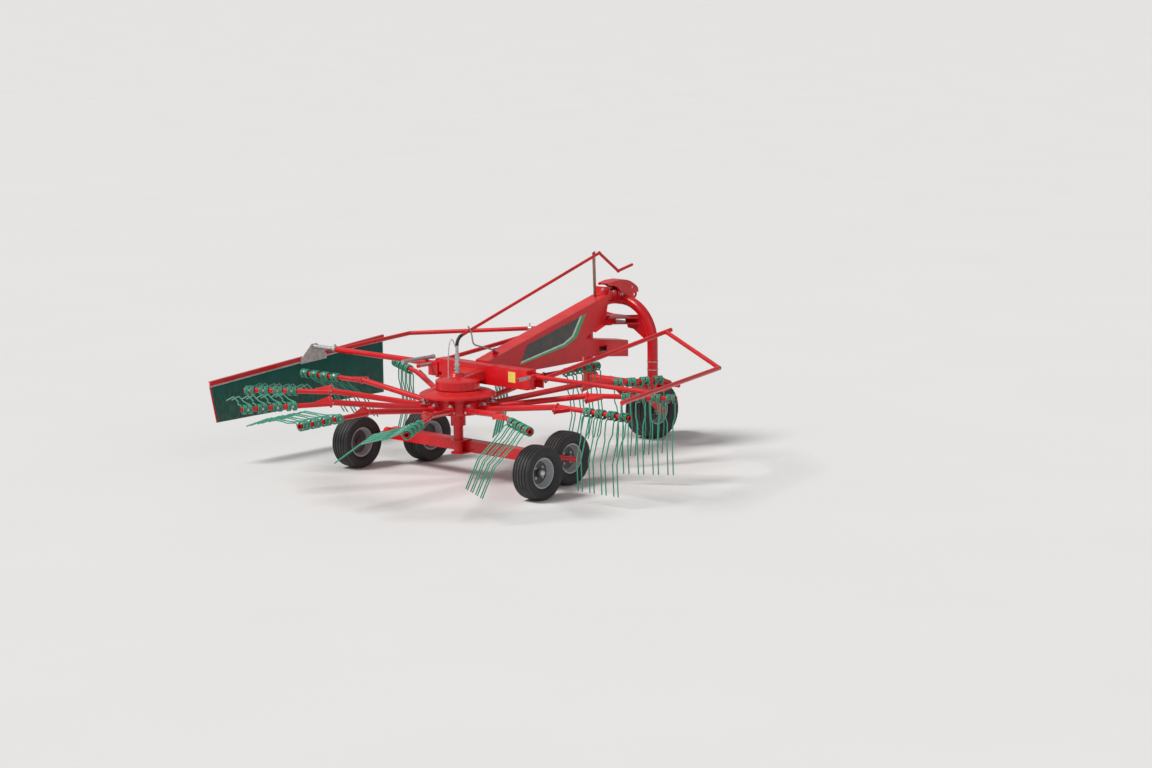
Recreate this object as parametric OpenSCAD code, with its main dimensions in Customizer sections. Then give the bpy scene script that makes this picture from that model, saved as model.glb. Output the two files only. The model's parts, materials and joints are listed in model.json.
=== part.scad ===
// Single rotor hay rake for a three-point linkage, standing on its wheels.
// Millimetres. +X is the direction of travel, +Y is left, +Z is up.
// The rotor axis is vertical; the frame's origin lies on the floor under the middle of the whole machine.

/* [Rotor] */
// Number of tine arms
arm_count = 12; // [8:1:14]
// Angle of the first tine arm from the direction of travel
arm_phase = 2.3; // [0:0.1:20]
// Radius to the outer end of the tine arms
tip_r = 1671; // [1560:1:1680]
// Height of the coils' axis at the arm's end
coil_z = 656; // [620:1:700]
// Diameter of the inner arm tube
arm_d = 44; // [30:1:50]
// Diameter of the outer arm tube
tip_arm_d = 38; // [28:1:44]
// Radius at which the outer arm is bolted on
joint_r = 1000; // [900:1:1080]
// Outer diameter of the drum's rim
drum_d = 580; // [500:5:640]
// Height of the drum's underside
drum_z = 522; // [480:1:540]

/* [Tines] */
// Number of double springs on each arm
spring_count = 4; // [3:1:4]
// Distance between double springs
spring_pitch = 112; // [100:1:112]
// Distance from the last spring to the arm's end
spring_end = 46; // [44:1:60]
// Outer diameter of a coil
coil_d = 72; // [64:1:76]
// Wire thickness of the tines
wire_d = 10; // [8:0.5:11]
// Distance between the two legs of a spring
leg_gap = 72; // [60:1:76]
// Depth of the tines' tips below the arm
tine_depth = 575; // [480:5:580]

/* [Wheels] */
// Outer diameter of the chassis tyres
tyre_d = 406; // [360:2:420]
// Width of the chassis tyres
tyre_w = 165; // [140:1:180]
// Rim flange diameter
rim_d = 230; // [200:1:240]
// Outer diameter of the jockey tyre
jockey_d = 456; // [400:2:470]
// Width of the jockey tyre
jockey_w = 214; // [150:1:220]
// Distance of the rear wheels behind the rotor axis
rear_axle_x = 151; // [100:1:180]
// Distance of the front wheels ahead of the rotor axis
front_axle_x = 393; // [380:1:430]
// Sideways place of the rear wheels
rear_wheel_y = 960; // [950:1:970]
// Sideways place of the front wheels
front_wheel_y = 740; // [700:1:745]

/* [Frame] */
// Side of the square chassis beam
beam_side = 85; // [60:1:100]
// Height of the chassis beam's middle
beam_z = 258; // [230:1:290]
// Diameter of the rotor column
column_d = 74; // [60:1:90]
// Reach of the cross box to the right
cross_right = 560; // [540:2:580]
// Reach of the cross box to the left
cross_left = 404; // [380:2:430]
// Reach of the hinge ears beyond the cross box
ear_reach = 70; // [66:1:76]
// Depth of the cross box along the machine
cross_depth = 100; // [80:1:130]
// Height of the cross box
cross_h = 148; // [120:1:150]
// Height of the cross box's underside
cross_z = 724; // [715:1:740]
// Width of the main beam
main_w = 140; // [110:2:160]
// Wall of the main beam
main_wall = 6; // [4:0.5:10]

/* [Headstock] */
// Distance of the swivel axis beyond the arms' tips
swivel_gap = 39; // [30:1:50]
// Distance of the arch ahead of the swivel axis
arch_gap = 140; // [136:1:160]
// Half distance between the arch's legs
arch_half = 345; // [340:1:355]
// Diameter of the arch's tube
arch_tube_d = 84; // [70:1:88]
// Height of the arch's apex
arch_top = 1180; // [1176:1:1184]
// Bend radius of the arch
arch_bend = 320; // [300:5:330]
// Height of the lower hitch pins
hitch_z = 510; // [480:1:530]
// Distance of the lower hitch pins ahead of the arch
hitch_reach = 140; // [120:1:180]
// Diameter of the lower hitch pins
hitch_pin_d = 28; // [22:1:37]
// Distance between the lower hitch pins' shoulders
hitch_span = 825; // [825:1:870]
// Length of a lower hitch pin
hitch_pin_len = 90; // [70:1:110]
// Diameter of the top link's bore
top_link_d = 26; // [20:0.5:32]
// Height of the top link's bore
top_link_z = 1205; // [1190:1:1215]
// Gap between the top link's ears
top_link_gap = 56; // [50:1:70]

/* [Guards] */
// Diameter of the guards' tube
guard_d = 34; // [26:1:38]
// Height of the guards' hinge
hinge_z = 825; // [815:1:835]
// Diameter of the curtain arm
curtain_arm_d = 46; // [42:1:52]

/* [Curtain] */
// Distance from the arms' tips to the curtain
curtain_gap = 179; // [150:1:200]
// Place of the curtain's rear edge along the machine
curtain_rear = -870; // [-900:5:-800]
// Place of the curtain's front edge along the machine
curtain_front = 1000; // [900:5:1100]
// Height of the curtain's lower edge
curtain_low = 335; // [250:5:400]
// Height of the curtain's top at the rear
curtain_top_rear = 625; // [600:5:660]
// Height of the curtain's top at the front
curtain_top_front = 772; // [740:2:780]

/* [Hidden] */
$fn = 48;

// Colours
RED = "#c8102e";
GREEN = "#1f8f78";
DARK_GREEN = "#0d4a43";
ZINC = "#b9bcc0";
BLACK = "#1c1d1f";
GREY = "#8d9196";

// Clearances
seat = 0.3;
running = 0.3;
air = 6;

// The rotor axis lies behind the middle of the whole machine
swivel_x = tip_r + swivel_gap;
arch_x = swivel_x + arch_gap;
front_reach = arch_x + 615;
rotor_x = -(front_reach - tip_r) / 2;

// Rotor
root_z = drum_z + 54;
root_r = drum_d / 2 + 12;
drum_top = drum_z + 178;
bore_r = 50;
arm_step = 360 / arm_count;
arm_rise = atan2(coil_z + 10 - root_z, joint_r - root_r);
spring_first = tip_r - spring_end - (spring_count - 1) * spring_pitch;

// How far each arm has turned about its own axis, as the cam lifts its tines: arm 1 first
ARM_TWIST = [0, 0, 0, 50, 80, 88, 84, 68, 38, 11, 3, 3, 0, 0];

// Bearing housings round the drum, the arms' bolted joints and the springs
housing_len = 105;
housing_w = 56;
housing_h = 62;
joint_lift = 10;
arm_ear_t = 8;
arm_ear_w = 48;
arm_ear_low = 60;
arm_ear_high = 18;
ear_tilt = -45;
coil_step = 0.96 * wire_d;

// Wheels
axle_d = 25;
axle_z = tyre_d / 2;
jockey_z = jockey_d / 2;
jockey_x = front_reach - jockey_d / 2;
bar_y = (rear_wheel_y + front_wheel_y) / 2;
bar_d = rear_wheel_y - front_wheel_y - tyre_w - 2 * air - 3;
bar_side = bar_y - bar_d / 2;

// Frame
beam_x = column_d / 2 + beam_side / 2 + seat;
cross_x = 170;
cross_top = cross_z + cross_h;
cap_z = drum_top + air;
cap_d = 335;
cap_h = 60;
wedge_x = -95;
wedge_top = 833;
lever_x = 400;
post_top = 1030;
post_base = post_top - 210;
shaft_z = 790;
shaft_d = 35;
shaft_front = arch_x + 102;

// Hinges of the guards
hinge_pin_r = 7.7;
hinge_right = cross_right + 40;
hinge_left = cross_left + 40;
barrel_r = 22;
ear_t = 12;
ear_rear = cross_x - ear_t + 2;
ear_front = cross_x + cross_depth - 2 + ear_t;
guard_x = cross_x + cross_depth / 2;
curtain_y = tip_r + curtain_gap;
curtain_arm_z = hinge_z - 8;
curtain_arm_end = curtain_y - 280;
rail_t = 24;
rail_h = 45;
rail_flange = 6;
guard_z = 830;
loop_rear = -228;
loop_front = 1366;
loop_left = 1068;
bracket_rear = 150;
bracket_front = 130;

// Main beam: side outline from the cross box up to the slanted nose
nose_x = swivel_x - 61;
nose_top = 1248;
nose_low_x = nose_x - 45;
nose_low = 1049;
nose_plate_top = nose_top + 50;
box_rear = 1330;
box_front = arch_x + 20;
box_top_rear = 925;
box_top_front = 852;
box_low_rear = 785;
box_low_front = 720;
boss_r = 38;
pin_r = 16;
plate = 12;
play = 1;
strut_x = nose_x - 89;
strut_top = 1590;
bridge_half = 235;
hood_w = 112;
top_link_reach = 138;
upper_low = 1186;
upper_high = 1256;
tongue_low = 1008;
tongue_high = 1040;
arch_foot = hitch_z - 45;

// Moves everything from the rotor axis to the part's own origin
module machine() translate([rotor_x, 0, 0]) children();

// Round bar from one point to another
module bar(a, b, r) {
  d = b - a;
  translate(a) rotate([0, acos(d.z / norm(d)), atan2(d.y, d.x)]) cylinder(h = norm(d), r = r);
}

// Ball turned off the main directions
module ball(r) rotate([70, 25, 40]) sphere(r);

// Bent round tube through a list of points, each bend a slightly swollen ball
module run(points, r, swell = 0.4) {
  for (i = [0 : len(points) - 2]) bar(points[i], points[i + 1], r);
  for (i = [1 : 1 : len(points) - 2]) translate(points[i]) ball(r + swell);
}

// Flat plate in the X-Z plane, centred on y, from a side outline
module side_plate(outline, y, t) translate([0, y + t / 2, 0]) rotate([90, 0, 0])
  linear_extrude(t) polygon(outline);

module column() color(RED) machine() rotate_extrude() polygon([
  [0, 206], [column_d / 2, 206], [column_d / 2, 422], [57, 422], [57, drum_z - air],
  [bore_r - running, drum_z - air], [bore_r - running, cap_z], [0, cap_z]
]);

module chassis_beam() color(RED) machine() {
  translate([beam_x, 0, beam_z]) cube([beam_side, 2 * (bar_side - air - 20), beam_side], center = true);
  for (s = [-1, 1])
    bar([beam_x, s * (bar_y - 80), beam_z], [beam_x, s * (bar_side - seat), beam_z], beam_side / 2 - 12);
  for (z = [beam_z + beam_side / 2, beam_z - beam_side / 2 - 10]) difference() {
    union() {
      translate([0, 0, z]) cylinder(h = 10, r = column_d / 2 + 22);
      translate([0, -column_d / 2 - 22, z]) cube([beam_x, column_d + 44, 10]);
    }
    translate([0, 0, z - 1]) cylinder(h = 12, r = column_d / 2 + seat);
  }
}

module bogie(s) color(RED) machine() {
  run([[-rear_axle_x, s * bar_y, axle_z], [beam_x - 60, s * bar_y, beam_z - 6],
       [beam_x + 90, s * bar_y, beam_z - 6], [front_axle_x, s * bar_y, axle_z]], bar_d / 2);
  bar([beam_x, s * bar_side, beam_z], [beam_x, s * (bar_y + bar_d / 2), beam_z], beam_side / 2 - 6);
  bar([-rear_axle_x, s * bar_y, axle_z], [-rear_axle_x, s * (rear_wheel_y + 30), axle_z], axle_d / 2);
  bar([front_axle_x, s * bar_y, axle_z], [front_axle_x, s * (front_wheel_y - 30), axle_z], axle_d / 2);
}
module bogie_left() bogie(1);
module bogie_right() bogie(-1);

// Wheels: outer half of a tyre's section, from the bead to the middle of the tread
function tyre_side(r, w, b) = [
  [b, w * 0.36], [b + 12, w * 0.45], [(r + b) / 2, w * 0.5], [r - 26, w * 0.475],
  [r - 10, w * 0.42], [r - 3, w * 0.33], [r, w * 0.2]
];
module tyre(x, y, z, d, w, bead) color(BLACK) machine()
  translate([x, y, z]) rotate([90, 0, 0]) rotate_extrude() {
  side = tyre_side(d / 2, w, bead / 2);
  polygon(concat(side, [for (i = [len(side) - 1 : -1 : 0]) [side[i].x, -side[i].y]]));
}
module rim(x, y, z, w, bead, s) color(GREY) machine()
  translate([x, y, z]) rotate([90 * s, 0, 0]) rotate_extrude() {
  ro = bead / 2 - seat;
  polygon([
    [axle_d / 2 + running, -36], [30, -36], [30, -8], [ro - 26, -2], [ro - 10, -w * 0.34], [ro, -w * 0.34],
    [ro, w * 0.34], [ro - 10, w * 0.34], [ro - 22, 10], [30, 6], [30, 36], [axle_d / 2 + running, 36]
  ]);
}
module tyre_rear_left() tyre(-rear_axle_x, rear_wheel_y, axle_z, tyre_d, tyre_w, rim_d);
module tyre_rear_right() tyre(-rear_axle_x, -rear_wheel_y, axle_z, tyre_d, tyre_w, rim_d);
module tyre_front_left() tyre(front_axle_x, front_wheel_y, axle_z, tyre_d, tyre_w, rim_d);
module tyre_front_right() tyre(front_axle_x, -front_wheel_y, axle_z, tyre_d, tyre_w, rim_d);
module tyre_jockey() tyre(jockey_x, 0, jockey_z, jockey_d, jockey_w, rim_d);
module rim_rear_left() rim(-rear_axle_x, rear_wheel_y, axle_z, tyre_w, rim_d, -1);
module rim_rear_right() rim(-rear_axle_x, -rear_wheel_y, axle_z, tyre_w, rim_d, 1);
module rim_front_left() rim(front_axle_x, front_wheel_y, axle_z, tyre_w, rim_d, -1);
module rim_front_right() rim(front_axle_x, -front_wheel_y, axle_z, tyre_w, rim_d, 1);
module rim_jockey() rim(jockey_x, 0, jockey_z, jockey_w, rim_d, 1);

module rotor_drum() color(RED) machine() difference() {
  union() {
    rotate_extrude($fn = 96) polygon([
      [0, drum_z], [drum_d / 2 - 100, drum_z], [drum_d / 2 - 75, drum_z + 23], [drum_d / 2 - 65, drum_z + 98],
      [drum_d / 2 - 28, drum_z + 128], [drum_d / 2, drum_z + 133], [drum_d / 2, drum_z + 146],
      [drum_d / 2 - 28, drum_z + 160], [drum_d / 2 - 110, drum_top], [0, drum_top]
    ]);
    for (i = [0 : arm_count - 1]) rotate([0, 0, arm_phase + i * arm_step])
      translate([root_r, 0, root_z]) rotate([0, -arm_rise, 0])
        translate([-housing_len, -housing_w / 2, -housing_h / 2]) cube([housing_len, housing_w, housing_h]);
  }
  translate([0, 0, drum_z - 1]) cylinder(h = drum_top - drum_z + 2, r = bore_r);
}

// Ear plate of an arm's bolted joint, in the frame of the turned arm
module arm_ear(x) translate([x, 0, joint_lift]) rotate([ear_tilt, 0, 0])
  translate([0, -arm_ear_w / 2, -arm_ear_low]) cube([arm_ear_t, arm_ear_w, arm_ear_low + arm_ear_high]);

// Inner arm: the tube rises from its housing to the bolted joint
arm_len = norm([joint_r - root_r, coil_z + joint_lift - root_z]);
module inner_arm(i) {
  translate([root_r, 0, root_z]) rotate([0, 90 - arm_rise, 0])
    translate([0, 0, seat]) cylinder(h = arm_len - arm_ear_t - 4, r = arm_d / 2);
  translate([0, 0, coil_z]) rotate([-ARM_TWIST[i], 0, 0]) arm_ear(joint_r - 2 * arm_ear_t - seat);
}
module inner_arms() color(RED) machine()
  for (i = [0 : arm_count - 1]) rotate([0, 0, arm_phase + i * arm_step]) inner_arm(i);

// Double spring: two coils about the arm, each with a tine that is kinked forward
module spring() for (s = [-1, 1]) {
  x = s * (leg_gap / 2 - 8);
  translate([s * (leg_gap / 2 - coil_step - 1.4), 0, 0]) rotate([0, 90, 0])
    cylinder(h = 2 * coil_step + wire_d, r = coil_d / 2, center = true);
  run([[x, -29, 0], [x, -54, -0.6 * tine_depth], [x, 3, -tine_depth]], wire_d / 2);
}

// Outer arm with its springs, turned about the arm's own axis by the cam
module tine_arm(i) color(GREEN) machine() rotate([0, 0, arm_phase + (i - 1) * arm_step])
  translate([0, 0, coil_z]) rotate([-ARM_TWIST[i - 1], 0, 0]) {
    run([[joint_r - arm_ear_t / 2, 0, joint_lift], [spring_first - 60, 0, joint_lift - 2], [tip_r, 0, 0]],
        tip_arm_d / 2);
    arm_ear(joint_r - arm_ear_t);
    translate([joint_r - 1, 0, joint_lift]) rotate([ear_tilt, 0, 0])
      side_plate([[0, -10], [0, -arm_ear_low], [110, -16], [110, -10]], 0, 8);
    for (k = [0 : spring_count - 1]) translate([spring_first + k * spring_pitch, 0, 3 - 0.75 * k]) spring();
  }
module tine_arm_01() tine_arm(1);
module tine_arm_02() tine_arm(2);
module tine_arm_03() tine_arm(3);
module tine_arm_04() tine_arm(4);
module tine_arm_05() tine_arm(5);
module tine_arm_06() tine_arm(6);
module tine_arm_07() tine_arm(7);
module tine_arm_08() tine_arm(8);
module tine_arm_09() tine_arm(9);
module tine_arm_10() tine_arm(10);
module tine_arm_11() tine_arm(11);
module tine_arm_12() tine_arm(12);

module gear_cap() color(RED) machine() difference() {
  union() {
    rotate_extrude($fn = 96) polygon([
      [0, cap_z], [cap_d / 2, cap_z], [cap_d / 2, cap_z + cap_h], [cap_d / 2 - 12, cap_z + cap_h + 8],
      [60, cap_z + cap_h + 30], [45, post_base], [0, post_base]
    ]);
    intersection() {
      side_plate([
        [wedge_x, cap_z + cap_h - 10], [wedge_x, cap_z + cap_h + 8],
        [cross_x, wedge_top], [cross_x, cap_z + cap_h - 10]
      ], 0, cap_d);
      translate([0, 0, cap_z]) linear_extrude(cap_d)
        polygon([[wedge_x, -60], [cross_x, -120], [cross_x, 120], [wedge_x, 60]]);
    }
  }
  translate([cross_x - seat, -cap_d, cap_z - 1]) cube([cap_d, 2 * cap_d, cap_d]);
}

module cross_box() color(RED) machine() difference() {
  union() {
    translate([cross_x, -cross_right, cross_z]) cube([cross_depth, cross_right + cross_left, cross_h]);
    for (y = [-cross_right - ear_reach, cross_left - 30], x = [ear_rear, cross_x + cross_depth - 2])
      translate([x, y, cross_z + 13]) cube([ear_t, ear_reach + 30, hinge_z + 20 - cross_z - 13]);
  }
  shaft_bore(cross_x, cross_x + cross_depth);
  for (y = [-hinge_right, hinge_left]) translate([ear_rear - 1, y, hinge_z]) rotate([0, 90, 0])
    cylinder(h = cross_depth + 40, r = hinge_pin_r + seat);
  translate([cross_x - 1, cross_left - 50, cross_z + 35]) rotate([0, 90, 0]) cylinder(h = 20, r = 14);
}

// Hinge pins, each with a long handle behind the box and a nut ahead of it
module hinge_pins() color(ZINC) machine()
  for (y = [-hinge_right, hinge_left]) translate([0, y, hinge_z]) rotate([0, 90, 0]) {
    translate([0, 0, 20]) cylinder(h = ear_rear - seat - 20, r = 14);
    translate([0, 0, ear_rear - 1]) cylinder(h = ear_front + 16 - ear_rear, r = hinge_pin_r);
    translate([0, 0, ear_front + seat]) cylinder(h = 10, r = 14);
  }

// Hole along the machine that the input shaft runs through
module shaft_bore(from, to) translate([from - 1, 0, shaft_z]) rotate([0, 90, 0])
  cylinder(h = to - from + 2, r = shaft_d / 2 + 4 + running);

// Height of the main beam's top face
function beam_top(x) = cross_top + 10
  + (x - cross_x - cross_depth) / (nose_x - cross_x - cross_depth) * (nose_top - cross_top - 10);

// Sloping front face that the swivel box is welded to
notch_z = nose_low - 115;
function notch_x(z) = box_rear + (z - box_low_rear) * 0.31;

// Side outline of the main beam, inset by w
function beam_outline(w) = [
  [cross_x + cross_depth + seat + w, cross_z + 26 - 2 * w], [box_rear - w, cross_z + 26 - 2 * w],
  [box_rear - w, box_low_rear], [notch_x(notch_z) - w, notch_z + w], [nose_low_x - w, nose_low + w],
  [nose_x - w, nose_top - 1.2 * w], [cross_x + cross_depth + seat + w, cross_top + 10 - 1.2 * w]
];

// Horizontal pivot plate from x to the swivel axis, z to z + t, with the pin's hole
module pivot_plate(x, z, t) difference() {
  union() {
    translate([x, -main_w / 2 + main_wall, z]) cube([swivel_x - x, main_w - 2 * main_wall, t]);
    translate([swivel_x, 0, z]) cylinder(h = t, r = main_w / 2 - main_wall);
  }
  translate([swivel_x, 0, z - 1]) cylinder(h = t + 2, r = pin_r + running);
}
module main_beam() color(RED) machine() {
  difference() {
    side_plate(beam_outline(0), 0, main_w);
    side_plate(beam_outline(main_wall), 0, main_w - 2 * main_wall);
    shaft_bore(cross_x + cross_depth, box_rear + 60);
  }
  side_plate([
    [nose_low_x - 9, nose_low + 5], [nose_low_x, nose_low], [nose_x, nose_top], [nose_x + 11, nose_plate_top],
    [nose_x + 2, nose_plate_top], [nose_x - 9, nose_top]
  ], 0, main_w);
  pivot_plate(nose_x - 40, upper_low - plate - play, plate);
  pivot_plate(nose_x - 4, upper_high + play, plate);
  pivot_plate(nose_low_x - 74, tongue_low, tongue_high - tongue_low);
  side_plate([[lever_x - 30, 905], [lever_x + 32, 920], [lever_x + 18, 962], [lever_x - 18, 962]], -9, 6);
}

// Lower front box: an inverted channel ahead of the beam, with the input shaft's bearing plate in its end
module swivel_box() color(RED) machine() {
  difference() {
    side_plate([
      [box_front, box_low_front], [box_front, box_top_front],
      [notch_x(box_top_rear - 5) + 2 * seat, box_top_rear - 5], [box_rear + 2 * seat, box_low_rear]
    ], 0, main_w);
    side_plate([
      [box_rear - 20, box_low_rear - 30], [box_front + 10, box_low_front - 30],
      [box_front + 10, box_top_front - 8], [box_rear + 30, box_top_rear - 13]
    ], 0, main_w - 2 * main_wall);
    translate([box_front - 345, -main_w, shaft_z]) cube([90, main_w, 52]);
  }
  difference() {
    translate([box_front - 22, -main_w / 2 + play, box_low_front + 8])
      cube([10, main_w - 2 * play, box_top_front - box_low_front - 12]);
    shaft_bore(box_front - 30, box_front);
  }
}

module input_shaft() color(GREY) machine() translate([0, 0, shaft_z]) rotate([0, 90, 0]) {
  translate([0, 0, cross_x]) cylinder(h = box_front + 2 - cross_x, r = shaft_d / 2 + 4);
  translate([0, 0, box_front]) cylinder(h = shaft_front - box_front, r = shaft_d / 2);
}

module height_spindle() color(ZINC) machine() {
  translate([0, 0, post_base + seat]) cylinder(h = post_top - post_base - seat, r = 12);
  translate([0, 0, post_base + seat]) cylinder(h = 137, r = 19);
  for (z = [5, 32, 62]) translate([0, 0, post_base + z]) cylinder(h = 6, r = 28);
}

// Height crank: a flexible coupling bends from the spindle into the sloping rod
hose_bend = 75;
crank_slope = 16.8;
crank_len = 1628;
crank_dir = [cos(crank_slope), 0, sin(crank_slope)];
crank_low = [hose_bend * (1 - sin(crank_slope)), 0, post_top + hose_bend * cos(crank_slope)];
crank_high = crank_low + crank_len * crank_dir;
handle_low = crank_high + [224, 0, -166];
handle_end = handle_low + [170, 0, 34];

module crank_coupling() color(BLACK) machine() translate([hose_bend, 0, post_top]) rotate([90, 0, 0])
  rotate([0, 0, 90 + crank_slope]) rotate_extrude(angle = 90 - crank_slope - 0.25)
    translate([hose_bend, 0]) circle(13);

module crank_rod() color(RED) machine() {
  bar(crank_low + seat * crank_dir, crank_high, 12);
  bar(crank_high, handle_low, 12);
  bar(handle_low, handle_end, 12);
  for (p = [crank_high, handle_low]) translate(p) ball(15);
}

module crank_strut() color(ZINC) machine() {
  side_plate([
    [strut_x, beam_top(strut_x) + seat], [strut_x + 28, beam_top(strut_x + 28) + seat],
    [strut_x + 18, strut_top], [strut_x - 12, strut_top - 10]
  ], 12 + 3 + seat, 6);
}

// The arch's bent tube with radius r
module arch_tube(r) translate([arch_x, 0, 0]) rotate([90, 0, 90]) {
  flat = arch_half - arch_bend;
  for (s = [-1, 1]) {
    translate([s * arch_half, arch_foot, 0]) rotate([-90, 0, 0])
      cylinder(h = arch_top - arch_bend - arch_foot, r = r);
    translate([s * flat, arch_top - arch_bend, 0]) rotate([0, 0, s > 0 ? 0 : 90])
      rotate_extrude(angle = 90) translate([arch_bend, 0]) circle(r);
  }
  translate([-flat, arch_top, 0]) rotate([0, 90, 0]) cylinder(h = 2 * flat, r = r);
}
module headstock_arch() color(RED) machine() arch_tube(arch_tube_d / 2);

module headstock_bridge() color(RED) machine() {
  low = tongue_low - running - plate;
  high = tongue_high + running;
  difference() {
    union() {
      for (z = [low, high]) {
        translate([0, 0, z]) linear_extrude(plate) polygon([
          [swivel_x - 10, -59], [arch_x + 20, -bridge_half], [arch_x + 20, bridge_half], [swivel_x - 10, 59]
        ]);
        translate([swivel_x, 0, z]) cylinder(h = plate, r = 60);
      }
      for (s = [-1, 1]) translate([arch_x - plate / 2, 0, 0]) rotate([90, 0, 90]) linear_extrude(plate)
        polygon([
          [s * 50, high + plate], [s * 205, high + plate + 20], [s * (arch_half - 15), low],
          [s * arch_half, low - 96], [s * (arch_half - 83), low - 112], [s * 150, low - 43], [s * 92, low - 38]
        ]);
    }
    arch_tube(arch_tube_d / 2 + seat);
  }
  translate([swivel_x, 0, low - 10]) cylinder(h = high - low + plate + 20, r = pin_r);
}

// Side outline of the hood over the top link
module hood() difference() {
  side_plate([
    [swivel_x - 52, 1308], [swivel_x - 52, 1328], [swivel_x + 30, 1341], [arch_x - 14, 1342],
    [arch_x + 30, 1335], [arch_x + 75, 1319], [arch_x + 115, 1297], [arch_x + 148, 1274],
    [arch_x + 164, 1256], [arch_x + 167, 1224],
    [arch_x + 120, 1230], [arch_x - 20, 1238], [arch_x - 45, 1250], [arch_x - 80, 1282], [arch_x - 115, 1300],
    [swivel_x - 20, 1308]
  ], 0, hood_w);
  side_plate([
    [swivel_x - 60, 1200], [swivel_x - 60, 1321], [swivel_x + 30, 1335], [arch_x - 14, 1336],
    [arch_x + 28, 1329], [arch_x + 72, 1313], [arch_x + 111, 1291], [arch_x + 143, 1269],
    [arch_x + 175, 1240], [arch_x + 175, 1200]
  ], 0, hood_w - 10);
}
module headstock_tower() color(RED) machine() {
  difference() {
    union() {
      translate([swivel_x, 0, upper_low]) cylinder(h = upper_high - upper_low, r = boss_r);
      translate([swivel_x, -top_link_gap / 2 - 2, upper_low])
        cube([arch_gap + 30, top_link_gap + 4, upper_high - upper_low]);
      for (s = [-1, 1]) side_plate([
        [arch_x - 60, upper_low], [arch_x + 50, upper_low - 40], [arch_x + 140, 1172],
        [arch_x + 160, 1190], [arch_x + 166, 1210], [arch_x + 162, 1236], [arch_x + 128, 1282],
        [arch_x + 75, 1316], [arch_x + 10, 1338], [arch_x - 60, 1338]
      ], s * (top_link_gap / 2 + 6), 12);
      hood();
    }
    translate([arch_x, 0, arch_top]) rotate([90, 0, 0])
      cylinder(h = 400, r = arch_tube_d / 2 + seat, center = true);
    translate([arch_x + top_link_reach, 0, top_link_z]) rotate([90, 0, 0])
      cylinder(h = 200, r = top_link_d / 2, center = true);
  }
  translate([swivel_x, 0, upper_low - plate - 4])
    cylinder(h = upper_high - upper_low + 2 * plate + 10, r = pin_r);
}

module hitch_brackets() color(RED) machine() {
  face = arch_x + arch_tube_d / 2 + seat;
  shoulder = hitch_span / 2;
  for (s = [-1, 1]) {
    side_plate([
      [face, hitch_z - 50], [arch_x + hitch_reach, hitch_z - 34], [arch_x + hitch_reach + 34, hitch_z],
      [arch_x + hitch_reach, hitch_z + 34], [face, hitch_z + 70]
    ], s * (shoulder - 10), 20);
    side_plate([
      [face, hitch_z - 50], [face + 14, hitch_z - 50], [face + 14, hitch_z + 70], [face, hitch_z + 70]
    ], s * (shoulder + arch_half - 35) / 2, shoulder - arch_half + 33);
    bar([arch_x + hitch_reach, s * (shoulder - 12), hitch_z],
        [arch_x + hitch_reach, s * (shoulder + hitch_pin_len), hitch_z], hitch_pin_d / 2);
  }
}

arm_y = jockey_w / 2 + 14;
module jockey_arm() color(RED) machine() {
  inner = arch_half - arch_tube_d / 2 - seat;
  bar([arch_x, -inner, hitch_z], [arch_x, inner, hitch_z], 32);
  for (s = [-1, 1]) side_plate([
    [arch_x + 10, hitch_z - 40], [arch_x + 10, hitch_z + 34], [arch_x + 60, hitch_z + 20],
    [jockey_x - 60, jockey_z + 80], [jockey_x + 26, jockey_z + 18], [jockey_x + 26, jockey_z - 26],
    [jockey_x - 30, jockey_z - 26]
  ], s * arm_y, 10);
  bar([jockey_x, -arm_y - 20, jockey_z], [jockey_x, arm_y + 20, jockey_z], axle_d / 2);
}

// Guards: the hinge barrel turns between the cross box's ears
module hinge_barrel(y) {
  translate([cross_x + 2 + running, y, hinge_z]) rotate([0, 90, 0]) difference() {
    cylinder(h = cross_depth - 4 - 2 * running, r = barrel_r);
    translate([0, 0, -1]) cylinder(h = cross_depth, r = hinge_pin_r + 2 * running);
  }
}
module guard_right() color(RED) machine() {
  corner = [guard_x - 2, -tip_r - 79, guard_z];
  rail_rear = [loop_rear, -tip_r - 187, guard_z];
  rail_front = [loop_front, 241 - tip_r, guard_z];
  inner_rear = [guard_x, -hinge_right - 100, hinge_z];
  inner_front = [swivel_x - 110, -hinge_right - 100, 1010];
  hinge_barrel(-hinge_right);
  run([[guard_x, -hinge_right - barrel_r + 1, hinge_z], corner], guard_d / 2);
  run([rail_rear, rail_front, inner_front, inner_rear], guard_d / 2);
  bar(inner_front, inner_front + 0.045 * (inner_front - inner_rear), guard_d / 2);
}
module guard_left() color(RED) machine() difference() {
  run([
    [guard_x, curtain_arm_end - 20, curtain_arm_z], [loop_left, tip_r - 71, guard_z + 15],
    [swivel_x - 50, hinge_left + 98, guard_z + 90], [guard_x, hinge_left + 52, curtain_arm_z]
  ], guard_d / 2);
  arm_bar(hinge_left, curtain_arm_end + 100, curtain_arm_d / 2 + seat);
}

// Round bar along the curtain arm's axis
module arm_bar(from, to, r) bar([guard_x, from, curtain_arm_z], [guard_x, to, curtain_arm_z], r);
module curtain_arm() color(RED) machine() {
  hinge_barrel(hinge_left);
  difference() {
    arm_bar(hinge_left + barrel_r - 1, curtain_arm_end, curtain_arm_d / 2);
    arm_bar(hinge_left + 200, curtain_arm_end + 1, curtain_arm_d / 2 - 5);
  }
}

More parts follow.
